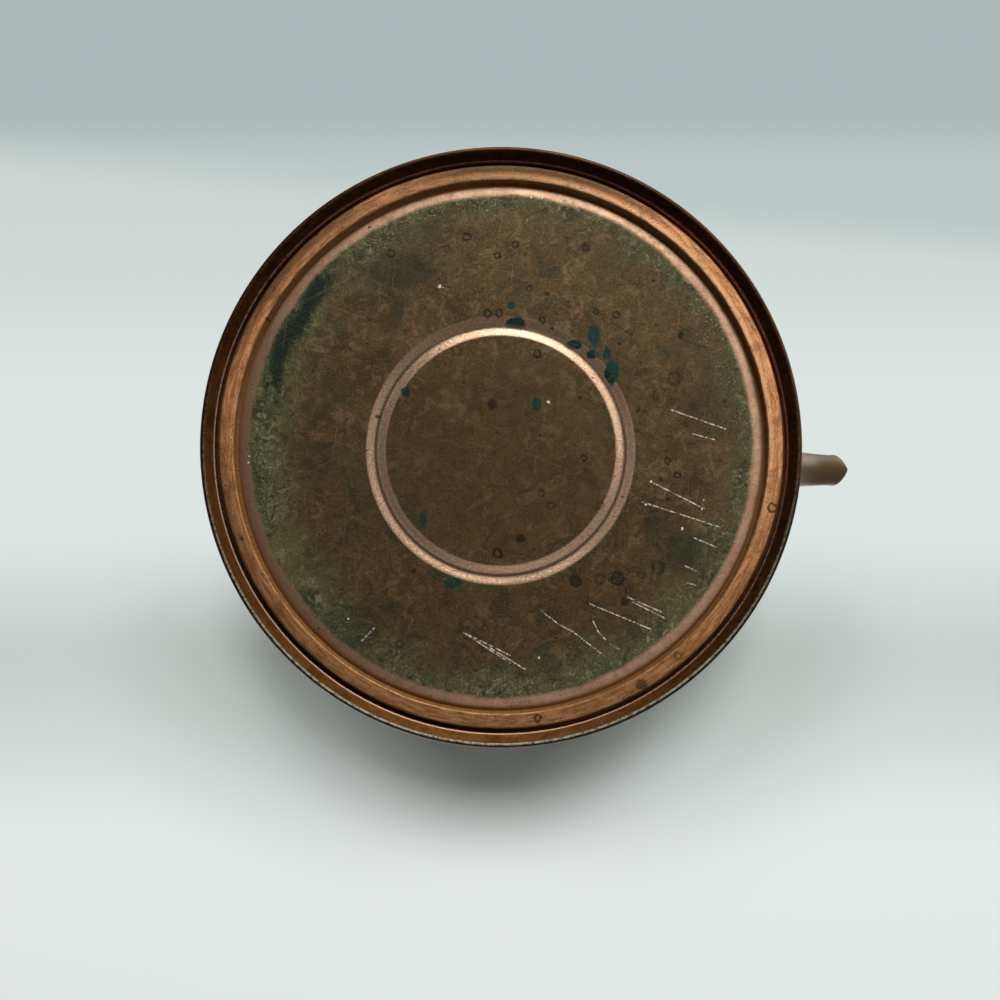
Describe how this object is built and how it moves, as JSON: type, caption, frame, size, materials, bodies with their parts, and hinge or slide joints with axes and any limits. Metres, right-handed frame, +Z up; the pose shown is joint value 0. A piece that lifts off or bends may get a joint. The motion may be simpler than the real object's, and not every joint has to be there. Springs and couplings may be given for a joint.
{
  "type": "copper kettle",
  "caption": "Round copper kettle with a pressed flat base, a gooseneck spout, a hinged domed lid with a turned knob and a swinging bail with a wooden grip.",
  "frame": {"origin": "centre of the base panel's flat underside, on the kettle's axis; the foot band that stands on the table is 1.6 mm lower", "axes": "+Z up along the kettle's axis, +X towards the spout's lip, so the lid's hinge is at -X and the bail's ears at +Y and -Y"},
  "size_m": [0.239, 0.1784, 0.2268],
  "materials": {
    "aged_copper": "aged copper sheet, softly polished, with brown patina",
    "base_copper": "dark brown patinated copper with verdigris and a worn bright foot band",
    "bright_copper": "copper worn bright",
    "aged_brass": "aged cast or turned brass",
    "dark_iron": "forged iron wire, dark and oiled",
    "turned_wood": "dark turned hardwood, worn smooth"
  },
  "bodies": {
    "kettle_body": {"body_shell": "aged_copper", "base_disc": "base_copper", "spout": "aged_copper", "neck_collar": "aged_copper", "hinge_body_leaf": "aged_brass", "hinge_pin": "aged_brass", "hinge_body_rivet_1": "bright_copper", "hinge_body_rivet_2": "bright_copper", "ear_left": "aged_brass", "ear_right": "aged_brass", "bail_pin_left": "aged_brass", "bail_pin_right": "aged_brass", "ear_rivet_left_1": "bright_copper", "ear_rivet_left_2": "bright_copper", "ear_rivet_right_1": "bright_copper", "ear_rivet_right_2": "bright_copper"},
    "lid": {"lid_shell": "aged_copper", "lid_bezel": "aged_copper", "knob_rosette": "bright_copper", "lid_knob": "aged_brass", "knob_screw": "aged_brass", "knob_washer": "aged_brass", "hinge_lid_leaf": "aged_brass", "hinge_lid_rivet_1": "bright_copper", "hinge_lid_rivet_2": "bright_copper"},
    "bail": {"bail_wire": "dark_iron", "bail_grip": "turned_wood", "bail_ferrule_left": "aged_brass", "bail_ferrule_right": "aged_brass"}
  },
  "joints": [
    {"name": "lid_hinge", "type": "hinge", "parent": "kettle_body", "child": "lid", "pos_m": [-0.0519, 0, 0.10305], "axis": [0, -1, 0], "range_deg": [0, 100]},
    {"name": "bail_swing", "type": "hinge", "parent": "kettle_body", "child": "bail", "pos_m": [0, 0, 0.092], "axis": [0, 1, 0], "range_deg": [-90, 65]}
  ]
}
